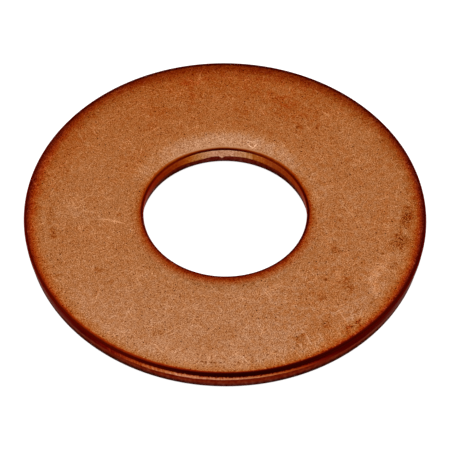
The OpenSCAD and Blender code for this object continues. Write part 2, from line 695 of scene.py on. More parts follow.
@dataclass(frozen=True)
class RollShading:
    """How painted shade and a painted highlight lie on a rolled edge, by the tilt of its surface in degrees.

    Attributes:
        start: Tilt at which the painted shade starts.
        end: Tilt at which it is full.
        depth: How far it darkens the tone.
        front_lit: How much later it starts where the slope faces -Y, the lit side.
        worn_focus: How narrowly it has to face so.
        shaded_away: How much earlier it starts where the slope faces +Y, the shaded side.
        relief: How much less it darkens there; below zero it darkens more.
        pale: How far the painted highlight lightens the slope that faces -Y.
        nose_end: Tilt at which the nose is darkest.
        start_late: How much later the dark of the nose starts where it faces -Y.
        side_early: Share of what is late at -Y that is lost where it faces +X too; below zero, gained.
        end_late: How much later the nose is darkest where it faces -Y.
        side_late: How many times that again where it faces -X too.
        end_early: How much sooner it is darkest where it faces +Y.
        nose_tone: Tone of the nose, which is painted shade.
        nose_left: How much lighter it is where it faces -X, and darker at +X; below zero, the other way.
        nose_dark: How much darker it is where it faces -Y and somewhat +X.
        ragged: How far the streaks of the tool move those tilts.
        streaks: Streaks in a degree of the turn.
        left_late: Share of worn that is added where the slope faces -X too.
        right_early: Share of worn that is lost where it faces +X too.
        nose_fall: How much darker the nose is at its foot.
        nose_start: Tilt at which the dark of the nose starts.
        start_back: How much later it starts where it faces +Y.
        nose_focus: How narrowly the darkest part of the nose faces its way.
    """

    # Tilts between which the painted highlight comes in, and those between which the foot of the nose does
    HIGHLIGHT_TILT: ClassVar[Span] = (2.0, 11.0)
    FOOT_TILT: ClassVar[Span] = (50.0, 80.0)
    # Way that the darkest part of the nose faces, in degrees from -Y towards +X
    NOSE_WAY: ClassVar[float] = 5.0
    TARNISH_CURVE: ClassVar[float] = 2.0
    STREAK_DETAIL: ClassVar[float] = 2.0

    start: float
    end: float
    depth: float
    front_lit: float
    worn_focus: float
    shaded_away: float
    relief: float
    pale: float
    nose_end: float
    start_late: float
    side_early: float
    end_late: float
    side_late: float
    end_early: float
    nose_tone: float
    nose_left: float
    nose_dark: float
    ragged: float
    streaks: float
    left_late: float = 0.0
    right_early: float = 0.0
    nose_fall: float = 0.0
    nose_start: float = 10.5
    start_back: float = 3.5
    nose_focus: float = 8.0

    def apply(self, coat: Coat, tone: Value) -> bpy.types.NodeSocket:
        """Adds the painted shade and painted highlight of the roll, and the painted shade of the nose, to a
        tone.

        Args:
            coat: The material to paint.
            tone: The tone of the face.

        Returns:
            The tone of the rolled edge.
        """
        place = coat.place
        facing, side = place["Facing"], place["Side"]
        front_lit, shaded_away = coat.above(facing), coat.above(coat.times(facing, -1.0))
        right, left = coat.above(side), coat.above(coat.times(side, -1.0))
        streak = coat.noise(coat.join(place["Angle"]), self.streaks, self.STREAK_DETAIL)
        tilt = coat.total(place["Tilt"], coat.times(streak, self.ragged))
        # Painted shade comes in as the roll tilts away from the overhead light: later where it faces -Y,
        # sooner where it faces +Y
        spread = coat.total(coat.times(left, self.left_late), coat.times(right, -self.right_early), 1.0)
        shift = coat.times(coat.math("POWER", front_lit, self.worn_focus), self.front_lit, spread)
        shift = coat.total(shift, coat.times(shaded_away, -self.shaded_away))
        shade_and_tarnish = coat.math("SUBTRACT", tilt, coat.total(shift, self.start))
        shade_and_tarnish = coat.math("DIVIDE", shade_and_tarnish, self.end - self.start)
        shade_and_tarnish = coat.node("ShaderNodeClamp", {0: shade_and_tarnish}).outputs[0]
        shade_and_tarnish = coat.math("POWER", shade_and_tarnish, self.TARNISH_CURVE)
        depth = coat.total(coat.times(shaded_away, self.relief), -self.depth)
        # Painted highlight where the slope faces -Y
        pale = coat.times(coat.step(tilt, *self.HIGHLIGHT_TILT), front_lit, front_lit, self.pale)
        rolled = coat.total(tone, coat.times(shade_and_tarnish, depth), pale)
        # The nose is painted shade: a dark line, darker where it faces -Y
        early = coat.times(right, -self.side_early)
        late = coat.times(front_lit, self.start_late, coat.total(early, 1.0))
        start = coat.total(late, coat.times(shaded_away, self.start_back), self.nose_start)
        late = coat.times(front_lit, self.end_late, coat.total(coat.times(left, self.side_late), early, 1.0))
        end = coat.total(late, coat.times(shaded_away, -self.end_early), self.nose_end)
        way = math.radians(self.NOSE_WAY)
        toward = coat.total(coat.times(facing, math.cos(way)), coat.times(side, math.sin(way)))
        toward = coat.math("POWER", coat.above(toward), self.nose_focus)
        nose = coat.total(
            coat.times(toward, -self.nose_dark),
            coat.times(side, -self.nose_left),
            coat.times(coat.step(tilt, *self.FOOT_TILT), -self.nose_fall),
            self.nose_tone,
        )
        return coat.mix(rolled, nose, coat.step(tilt, start, end))


@dataclass(frozen=True)
class Finish:
    """A copper finish, from a tone that changes over the surface.

    Attributes:
        name: The material's name.
        roughness: Its roughness.
        edge_tint: Colour of its reflections at a low angle.
        fineness: Grains in a millimetre.
    """

    name: str
    roughness: float
    edge_tint: tuple[float, float, float]
    fineness: float

    def make(self, effects: Effects) -> bpy.types.Material:
        """Makes the material.

        Args:
            effects: The shared effects.

        Returns:
            The material.
        """
        coat = Coat(effects, self.name, self.roughness, self.edge_tint)
        self.paint(coat)
        return coat.material

    def paint(self, coat: Coat) -> None:
        """Paints the material, each finish in its own way."""
        raise NotImplementedError

    def grain_at(self, coat: Coat, position: Value) -> Sockets:
        """Gives the grain, the mottling and the clouds at a position."""
        return coat.group(coat.effects.grain, {"Position": position, "Fineness": self.fineness})


@dataclass(frozen=True)
class TumbledFinish(Finish):
    """The faces and rolled edges: tumbled, handled and unevenly tarnished, with painted shade towards +Y and
    on the rolls, and painted light towards -Y.

    Attributes:
        face: Tone of the faces.
        mottle: How far the mottling moves the tone.
        uneven: How much further it does towards +X.
        cloud: How far the broad clouds move it.
        back_shade: How far the painted shade towards +Y lowers it.
        back_rim_shade: How far the painted shade close to the rim there lowers it.
        front_light: How far the painted light towards -Y raises it.
        grain: How far the fine grain moves the shade.
        skew: How much deeper its dark grains are than its light ones.
        contrast: How far its strongest grains stand out.
        grain_height: Height of the grain.
        scuff: How far a short scuff lightens the shade.
        hair: How far a long scratch lightens it.
        pit: How far a pit darkens it, where pits gather.
        stain: How far a stain lowers the tone, as a share of its level.
        speckle: How far a rust mark darkens the shade in specks, likewise.
        redden: Share of the red that is gained where the rim's roll faces +Y and -X, the red of its painted
            shade.
        bore_redden: Share that is gained where the bore's roll faces +Y, likewise for its painted shade.
        rim: Painted shade and painted highlight of the roll on the rim.
        bore: Painted shade and painted highlight of the roll round the bore.
    """

    # Places in mm between which the finish changes, along X, along Y, where painted shade comes in towards
    # +Y and painted light towards -Y, and in height
    UNEVEN_X: ClassVar[Span] = (-3.0, 8.0)
    BACK_SHADE_Y: ClassVar[Span] = (1.0, 16.0)
    BACK_RIM_SHADE_Y: ClassVar[Span] = (11.5, 16.0)
    FRONT_LIGHT_Y: ClassVar[Span] = (-2.0, -14.0)
    UPPER_Z: ClassVar[Span] = (1.7, 1.9)
    # How far the clouds move the places along Y, in mm
    DRIFT: ClassVar[float] = 2.0
    # Tilts in degrees between which the plain lower face starts, and the marks on a roll come in
    UNDERSIDE_TILT: ClassVar[Span] = (165.0, 178.0)
    CALM_TILT: ClassVar[Span] = (30.0, 11.0)
    # Tilts between which a roll gains the red of its painted shade and loses it again, and the shares of +Y
    # and -X in the rim's
    RIM_RED_TILT: ClassVar[Window] = (8.0, 12.0, 12.0, 15.0)
    BORE_RED_TILT: ClassVar[Window] = (7.0, 12.0, 20.0, 50.0)
    RED_WAY: ClassVar[Span] = (0.8, 0.6)
    # How far the mottling pushes the outlines of stains and of scrapes
    STAIN_RAGGED: ClassVar[float] = 0.35
    SCRAPE_RAGGED: ClassVar[float] = 0.12
    # Specks of rust in a mm, their detail, and the levels of noise between which a speck comes in
    RUST_SCALE: ClassVar[float] = 9.0
    RUST_DETAIL: ClassVar[float] = 2.0
    RUST_LEVEL: ClassVar[Span] = (-0.1, 0.5)
    # Directions of the scratches in degrees, the offset of each layer, and the two kinds
    SCRATCH_TURNS: ClassVar[tuple[float, ...]] = (12.0, 58.0, 103.0, 149.0)
    SCRATCH_SEED: ClassVar[float] = 7.3
    SCUFFS: ClassVar[dict[str, float]] = {"Length": 3.4, "Width": 0.26, "Share": 0.3}
    HAIRS: ClassVar[dict[str, float]] = {"Length": 9.0, "Width": 0.3, "Share": 0.06}
    # The pits, the clouds between which they gather, and how deep they are outside and inside those
    PITS: ClassVar[dict[str, float]] = {"Spacing": 0.65, "Size": 0.052, "Share": 0.85}
    PIT_CLOUD: ClassVar[Span] = (0.3, -0.3)
    PIT_DEPTHS: ClassVar[Span] = (0.4, 1.2)

    name: str = "tumbled_copper"
    roughness: float = 0.38
    edge_tint: tuple[float, float, float] = (0.7, 0.45, 0.32)
    fineness: float = 12.0
    face: float = 0.67
    mottle: float = 0.06
    uneven: float = 0.03
    cloud: float = 0.036
    back_shade: float = 0.11
    back_rim_shade: float = 0.07
    front_light: float = 0.07
    grain: float = 0.205
    skew: float = 0.5
    contrast: float = 0.8
    grain_height: float = 0.0015 * MM
    scuff: float = 0.08
    hair: float = 0.08
    pit: float = 0.43
    stain: float = 0.8
    speckle: float = 2.4
    redden: float = 0.045
    bore_redden: float = 0.1
    rim: RollShading = RollShading(
        start=4.0,
        end=16.0,
        depth=0.4,
        front_lit=5.3,
        worn_focus=2.0,
        shaded_away=5.0,
        relief=0.27,
        pale=0.02,
        nose_end=21.5,
        start_late=5.0,
        side_early=0.8,
        end_late=20.0,
        side_late=3.0,
        end_early=7.0,
        nose_tone=0.155,
        nose_left=0.015,
        nose_dark=0.11,
        ragged=1.0,
        streaks=1.6,
        left_late=0.5,
        right_early=0.8,
        nose_fall=0.06,
    )
    bore: RollShading = RollShading(
        start=9.0,
        end=17.5,
        depth=0.27,
        front_lit=33.0,
        worn_focus=4.0,
        shaded_away=3.5,
        relief=-0.08,
        pale=0.19,
        nose_end=30.0,
        start_late=18.0,
        side_early=-0.6,
        end_late=40.0,
        side_late=1.2,
        end_early=11.5,
        nose_tone=0.185,
        nose_left=-0.03,
        nose_dark=0.13,
        ragged=0.8,
        streaks=0.7,
    )

    def paint(self, coat: Coat) -> None:
        """Paints the material.

        Args:
            coat: The material to paint.
        """
        place = coat.place
        position, tilt = place["Position"], place["Tilt"]
        grain = self.grain_at(coat, position)
        edge = coat.times(grain["Mottle"], self.STAIN_RAGGED)
        rusted = self.mark(coat, RUST, edge)
        stain = coat.total(self.mark(coat, STAINS, edge), rusted)
        edge = coat.times(grain["Mottle"], self.SCRAPE_RAGGED)
        scrape = self.mark(coat, SCRAPES + TOOL_MARKS, edge)
        rust = coat.step(coat.noise(position, self.RUST_SCALE, self.RUST_DETAIL), *self.RUST_LEVEL)
        specks = coat.times(rust, rusted, self.speckle)
        shade = coat.total(self.scratch(coat, grain), scrape, specks)
        plain = coat.total(self.shade_and_tarnish(coat, grain), coat.times(stain, self.stain))
        # Painted shade and painted highlight of each roll
        rim, bore = (roll_shading.apply(coat, plain) for roll_shading in (self.rim, self.bore))
        below = coat.step(tilt, *self.UNDERSIDE_TILT)
        tone = coat.mix(coat.by_wall(bore, rim), plain, below)
        calm = coat.mix(coat.step(tilt, *self.CALM_TILT), 1.0, below)
        paint = {"Tone": tone, "Shade": coat.times(shade, calm), "Dull": self.lost_red(coat)}
        coat.colour(paint)
        coat.bump(grain["Fine"], self.grain_height)

    def lost_red(self, coat: Coat) -> bpy.types.NodeSocket:
        """Gives the share of the red that the rolls lose; they gain it, in the colour of their painted
        shade.

        Args:
            coat: The material to paint.

        Returns:
            The share, which is below zero because red is gained there, and 0 elsewhere.
        """
        facing, side, tilt = (coat.place[name] for name in ("Facing", "Side", "Tilt"))
        along, across = self.RED_WAY
        rim = coat.total(coat.times(facing, along), coat.times(side, across))
        rim = coat.times(rim, self.redden, coat.window(tilt, *self.RIM_RED_TILT))
        bore = coat.times(facing, self.bore_redden, coat.window(tilt, *self.BORE_RED_TILT))
        return coat.math("MINIMUM", coat.by_wall(bore, rim), 0.0)

    def shade_and_tarnish(self, coat: Coat, grain: Sockets) -> bpy.types.NodeSocket:
        """Gives the tone of the plain metal: mottling, clouds, and painted shade towards +Y and painted
        light towards -Y.

        Args:
            coat: The material to paint.
            grain: The grain at the point.

        Returns:
            The tone.
        """
        x, y, _ = coat.split(coat.place["Position"])
        drift = coat.total(y, coat.times(grain["Cloud"], self.DRIFT))
        mottle = coat.total(coat.times(coat.step(x, *self.UNEVEN_X), self.uneven), self.mottle)
        return coat.total(
            self.face,
            coat.times(grain["Mottle"], mottle),
            coat.times(grain["Cloud"], self.cloud),
            coat.times(coat.step(drift, *self.BACK_SHADE_Y), -self.back_shade),
            coat.times(coat.step(drift, *self.BACK_RIM_SHADE_Y), -self.back_rim_shade),
            coat.times(coat.step(drift, *self.FRONT_LIGHT_Y), self.front_light),
        )

    def scratch(self, coat: Coat, grain: Sockets) -> bpy.types.NodeSocket:
        """Gives the shade of the grain, short scuffs, long scratches and pits.

        Args:
            coat: The material to paint.
            grain: The grain at the point.

        Returns:
            The shade.
        """
        position, fine = coat.place["Position"], grain["Fine"]
        square = coat.times(fine, fine)
        strong = coat.times(square, fine, self.contrast)
        shade = coat.times(coat.total(strong, coat.times(square, -self.skew), fine), self.grain)
        for layer, turn in enumerate(self.SCRATCH_TURNS):
            lie = {"Position": position, "Turn": turn, "Seed": self.SCRATCH_SEED * layer}
            for kind, level in ((self.SCUFFS, self.scuff), (self.HAIRS, self.hair)):
                shade = coat.total(shade, coat.times(coat.mask(coat.effects.hair, lie | kind), level))
        pit = coat.mask(coat.effects.speck, {"Position": position} | self.PITS)
        gathered = coat.mix(*self.PIT_DEPTHS, coat.step(grain["Cloud"], *self.PIT_CLOUD))
        return coat.total(shade, coat.times(pit, gathered, -self.pit))

    def mark(self, coat: Coat, marks: Sequence[Mark], edge: Value) -> bpy.types.NodeSocket:
        """Places marks on the upper face.

        Args:
            coat: The material to paint.
            marks: The marks.
            edge: How far their outlines are pushed in or out there.

        Returns:
            How far the marks lighten the copper.
        """
        level = 0.0
        for mark in marks:
            mask = coat.mask(coat.effects.mark, mark.inputs(coat.place["Position"], edge))
            level = coat.total(coat.times(mask, mark.level), level)
        return coat.times(level, coat.step(coat.place["Height"], *self.UPPER_Z))


@dataclass(frozen=True)
class ShearedFinish(Finish):
    """The sheared bands: burnished in upright streaks, with painted highlights where they face -Y and
    painted shade on the rest.

    Attributes:
        rim_dark: Tone of the rim's painted shade, away from its highlight.
        rim_highlight: How far its painted highlight lightens it.
        bore_dark: Tone of the bore's painted shade, away from its highlight.
        bore_highlight: How far its painted highlight lightens it.
        rim_glint: How far the rim's painted highlight lightens the shade.
        bore_glint: How far the bore's does.
        bore_haze: How far the bore's painted shade does.
        bore_turned: How much more they do where they face -X.
        streak: How far the streaks move the shade on the rim.
        bore_streak: How far they do in the bore.
        streak_height: Height of the streaks.
        grain: How far the grain moves the shade.
        dull: Share of the red that is lost on the painted shade, but for the rim's that face -X.
        bright_dull: Share that is lost on the painted highlights.
        rim_pink: How far blue gains on the rim's painted highlight.
        bore_pink: How far it gains on the bore's.
    """

    # How the streaks are drawn out along X, Y and Z, how many lie in a mm, and their detail
    STRETCH: ClassVar[tuple[float, float, float]] = (1.0, 1.0, 0.12)
    STREAK_SCALE: ClassVar[float] = 5.5
    STREAK_DETAIL: ClassVar[float] = 3.0
    # The painted highlights where the walls face -Y, and how many degrees the streaks move their ends
    RIM_HIGHLIGHT_ARC: ClassVar[dict[str, float]] = {"Centre": 267.5, "Half": 6.0, "Fade": 34.0}
    BORE_HIGHLIGHT_ARC: ClassVar[dict[str, float]] = {"Centre": 91.5, "Half": 6.0, "Fade": 31.0}
    ARC_RAGGED: ClassVar[float] = 3.0
    # Heights in mm between which the rim's painted highlight starts, and how far grain and -X move them
    TOP_Z: ClassVar[Span] = (1.88, 1.6)
    TOP_RAGGED: ClassVar[float] = 0.2
    TOP_LEFT: ClassVar[float] = 0.3
    GLINT_CURVE: ClassVar[float] = 0.33
    # How far the rim's wall faces +X where it goes over to its full red
    RUDDY_SIDE: ClassVar[Span] = (-0.66, -0.78)

    name: str = "sheared_copper"
    roughness: float = 0.4
    edge_tint: tuple[float, float, float] = (0.56, 0.32, 0.27)
    fineness: float = 7.0
    rim_dark: float = 0.12
    rim_highlight: float = 0.45
    bore_dark: float = 0.285
    bore_highlight: float = 0.435
    rim_glint: float = 0.11
    bore_glint: float = 0.04
    bore_haze: float = 0.06
    bore_turned: float = 0.06
    streak: float = 0.2
    bore_streak: float = 0.1
    streak_height: float = 0.008 * MM
    grain: float = 0.2
    dull: float = 0.2
    bright_dull: float = 0.07
    rim_pink: float = 0.07
    bore_pink: float = 0.055

    def paint(self, coat: Coat) -> None:
        """Paints the material.

        Args:
            coat: The material to paint.
        """
        place = coat.place
        drawn = coat.vector("MULTIPLY", place["Position"], self.STRETCH)
        streak = coat.noise(drawn, self.STREAK_SCALE, self.STREAK_DETAIL)
        grain = self.grain_at(coat, place["Position"])
        angle = {"Angle": coat.total(place["Angle"], coat.times(streak, self.ARC_RAGGED))}
        # Painted highlight on the stretch of each wall that faces -Y; the rest keeps the darker painted
        # shade
        rim, bore = (coat.mask(coat.effects.arc, angle | arc) for arc in (self.RIM_HIGHLIGHT_ARC, self.BORE_HIGHLIGHT_ARC))
        left = coat.above(coat.times(place["Side"], -1.0))
        ragged = coat.times(grain["Fine"], self.TOP_RAGGED)
        height = coat.total(place["Height"], ragged, coat.times(left, -self.TOP_LEFT))
        rim = coat.times(rim, coat.step(height, *self.TOP_Z))
        bright = coat.by_wall(bore, rim)
        gain = coat.by_wall(self.bore_highlight, self.rim_highlight)
        dark = coat.by_wall(self.bore_dark, self.rim_dark)
        tone = coat.total(coat.times(bright, gain), dark)
        haze = coat.total(coat.times(left, self.bore_turned), self.bore_haze)
        # Painted glint on the highlights, and a lift on the bore's painted shade
        rim_shade = coat.times(coat.math("POWER", rim, self.GLINT_CURVE), self.rim_glint)
        glint = coat.by_wall(coat.mix(haze, self.bore_glint, bore), rim_shade)
        ruddy = coat.times(coat.step(place["Side"], *self.RUDDY_SIDE), place["Rim"])
        dull = coat.mix(coat.mix(self.dull, self.bright_dull, bright), 0.0, ruddy)
        streaks = coat.times(streak, coat.by_wall(self.bore_streak, self.streak))
        shade = coat.total(streaks, coat.times(grain["Fine"], self.grain))
        shade = coat.total(coat.times(shade, tone), glint)
        pink = coat.times(bright, coat.by_wall(self.bore_pink, self.rim_pink))
        coat.colour({"Tone": tone, "Shade": shade, "Dull": dull, "Pink": pink})
        coat.bump(streak, self.streak_height)


@dataclass(frozen=True)
class TornFinish(Finish):
    """The torn bands: dull dark red fracture, its dark partly its own and partly painted shade.

    Attributes:
        rim_tone: Tone of the fracture on the rim.
        bore_tone: Tone of the fracture in the bore.
        shaded_away: How far the painted shade lowers the tone where the wall turns from -Y.
        uneven: How far its roughness moves the shade.
        foot: How far the painted shade at its foot, by the floor, darkens it.
        foot_turned: How far it darkens it again where the wall turns from -Y.
        haze: How far the haze on its upper part lightens the shade.
        haze_turned: How far it lightens it again where the wall turns from -Y.
        dusty: How far the dust on its lower part does.
        bore_foot: Share of the tarnish at the foot in the bore.
        bore_dust: Share of the haze and the dust there.
        dull: Share of the red that is lost.
    """

    # How the grain is drawn out along X, Y and Z
    STRETCH: ClassVar[tuple[float, float, float]] = (1.0, 1.0, 0.35)
    # How far the wall faces -Y where it starts to count as turned from it
    TURNED_FROM: ClassVar[float] = 0.5
    # Heights in mm between which the painted shade of the foot, its dark on turned walls and the dust come
    # in
    FOOT_Z: ClassVar[Span] = (0.85, 0.35)
    TURNED_FOOT_Z: ClassVar[Span] = (0.9, 0.5)
    DUST_Z: ClassVar[Span] = (1.2, 0.6)

    name: str = "torn_copper"
    roughness: float = 0.5
    edge_tint: tuple[float, float, float] = (0.66, 0.4, 0.34)
    fineness: float = 4.0
    rim_tone: float = 0.2
    bore_tone: float = 0.15
    shaded_away: float = 0.18
    uneven: float = 0.06
    foot: float = 0.16
    foot_turned: float = 1.0
    haze: float = 0.045
    haze_turned: float = 0.16
    dusty: float = 0.1
    bore_foot: float = 0.4
    bore_dust: float = 0.8
    dull: float = 0.15

    def paint(self, coat: Coat) -> None:
        """Paints the material.

        Args:
            coat: The material to paint.
        """
        place = coat.place
        height = place["Height"]
        drawn = coat.vector("MULTIPLY", place["Position"], self.STRETCH)
        grain = self.grain_at(coat, drawn)
        # Painted shade: darker towards the floor and where the wall turns from -Y
        turned = coat.math("SUBTRACT", 1.0, coat.math("MAXIMUM", place["Facing"], self.TURNED_FROM))
        low = coat.times(coat.step(height, *self.TURNED_FOOT_Z), turned, -self.foot_turned)
        foot = coat.total(coat.times(coat.step(height, *self.FOOT_Z), -self.foot), low)
        foot = coat.times(foot, coat.by_wall(self.bore_foot, 1.0))
        haze = coat.total(coat.times(turned, self.haze_turned), self.haze)
        dust = coat.mix(haze, self.dusty, coat.step(height, *self.DUST_Z))
        dust = coat.times(dust, coat.by_wall(self.bore_dust, 1.0))
        tone = coat.by_wall(self.bore_tone, self.rim_tone)
        tone = coat.total(tone, foot, coat.times(turned, -self.shaded_away))
        shade = coat.total(coat.times(grain["Fine"], self.uneven), dust)
        coat.colour({"Tone": tone, "Shade": shade, "Dull": self.dull})


@dataclass(frozen=True)
class FootFinish(Finish):
    """The tumbled lower edges: dark with painted shade where they meet the floor, and clearing towards the
    lower face.

    Attributes:
        foot_shade: Tone of the painted shade.
        face: Tone of the lower face.
        mottle: How far the mottling moves the tone.
    """

    # Tilts in degrees between which the painted shade clears
    CLEAR_TILT: ClassVar[Span] = (150.0, 178.0)

    name: str = "shaded_foot_copper"
    roughness: float = 0.5
    edge_tint: tuple[float, float, float] = (0.3, 0.14, 0.1)
    fineness: float = 7.0
    foot_shade: float = 0.06
    face: float = 0.66
    mottle: float = 0.03

    def paint(self, coat: Coat) -> None:
        """Paints the material.

        Args:
            coat: The material to paint.
        """
        place = coat.place
        grain = self.grain_at(coat, place["Position"])
        # Painted shade on the lower edge, clearing towards the lower face
        tone = coat.mix(self.foot_shade, self.face, coat.step(place["Tilt"], *self.CLEAR_TILT))
        tone = coat.total(tone, coat.times(grain["Mottle"], self.mottle))
        shade = coat.times(grain["Fine"], self.mottle)
        coat.colour({"Tone": tone, "Shade": shade})


@dataclass(frozen=True)
class Section:
    """The washer's half section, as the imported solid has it.

    Attributes:
        outer_r: Radius of the sheared rim.
        bore_r: Radius of the sheared bore.
        thickness: Height from face to face.
        roll_w: Width of a rolled edge across the face.
        roll_drop: Drop from the face to the top of a sheared wall.
        nose_r: Radius of the nose that turns the roll into the wall.
        rim_torn_h: Height of the torn band on the rim.
        bore_torn_h: Height of the torn band in the bore.
        torn_lean: How far a torn band leans back at the lower face.
        edge_r: Radius of the tumbled lower edges.
    """

    outer_r: float
    bore_r: float
    thickness: float
    roll_w: float = 2.5 * MM
    roll_drop: float = 0.7 * MM
    nose_r: float = 0.4 * MM
    rim_torn_h: float = 1.3 * MM
    bore_torn_h: float = 1.0 * MM
    torn_lean: float = 0.3 * MM
    edge_r: float = 0.35 * MM

    @classmethod
    def of_frame(cls) -> "Section":
        """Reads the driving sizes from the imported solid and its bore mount.

        Returns:
            The section.
        """
        low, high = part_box(NODE)
        bore = next(mount for mount in frame["record"]["mounts"] if mount["name"] == "bore")
        return cls((high[0] - low[0]) / 2, bore["dims"]["r_mm"] * MM, high[2] - low[2])

    @property
    def wall_top(self) -> float:
        """Height at which the nose meets the sheared wall."""
        return self.thickness - self.roll_drop

    @property
    def shoulder_r(self) -> float:
        """Radius of the arc that leaves the face level and runs into the nose."""
        reach = self.roll_w - self.nose_r
        return (self.roll_drop**2 - self.nose_r**2 + reach**2) / (2 * (self.roll_drop - self.nose_r))

    @property
    def shoulder_turn(self) -> float:
        """Angle that the shoulder turns through before the nose takes over."""
        return math.asin((self.roll_w - self.nose_r) / (self.shoulder_r - self.nose_r))


@dataclass(frozen=True)
class Tongue:
    """A place where the sheared band runs further down into the torn one.

    Attributes:
        angle: Place round the wall, in degrees from +X.
        width: Width along the wall.
        drop: How far the shear line drops there; below zero it rises.
    """

    angle: float
    width: float
    drop: float


@dataclass(frozen=True)
class Wall:
    """One of the washer's two walls.

    Attributes:
        radius: Radius of the sheared band.
        outward: 1 where the metal lies inside the radius, -1 where it lies outside.
        torn_h: Height of the torn band.
        lift: How far the shear line lies above that height.
        jag: How far the shear line wanders up and down.
        burnish: Tilt of the nose, in degrees, below which the burnish of the sheared band reaches.
        seed: Offset of this wall's noise.
        tongues: Single features of the shear line.
    """

    radius: float
    outward: int
    torn_h: float
    lift: float
    jag: float
    burnish: float
    seed: float
    tongues: tuple[Tongue, ...]


@dataclass
class Row:
    """One ring of vertices.

    Attributes:
        radius: Radius at each angle.
        height: Height at each angle.
        zone: Finish of the strip that starts at this ring.
        sharp: Whether the surface breaks here.
    """

    radius: np.ndarray
    height: np.ndarray
    zone: Zone
    sharp: bool = False


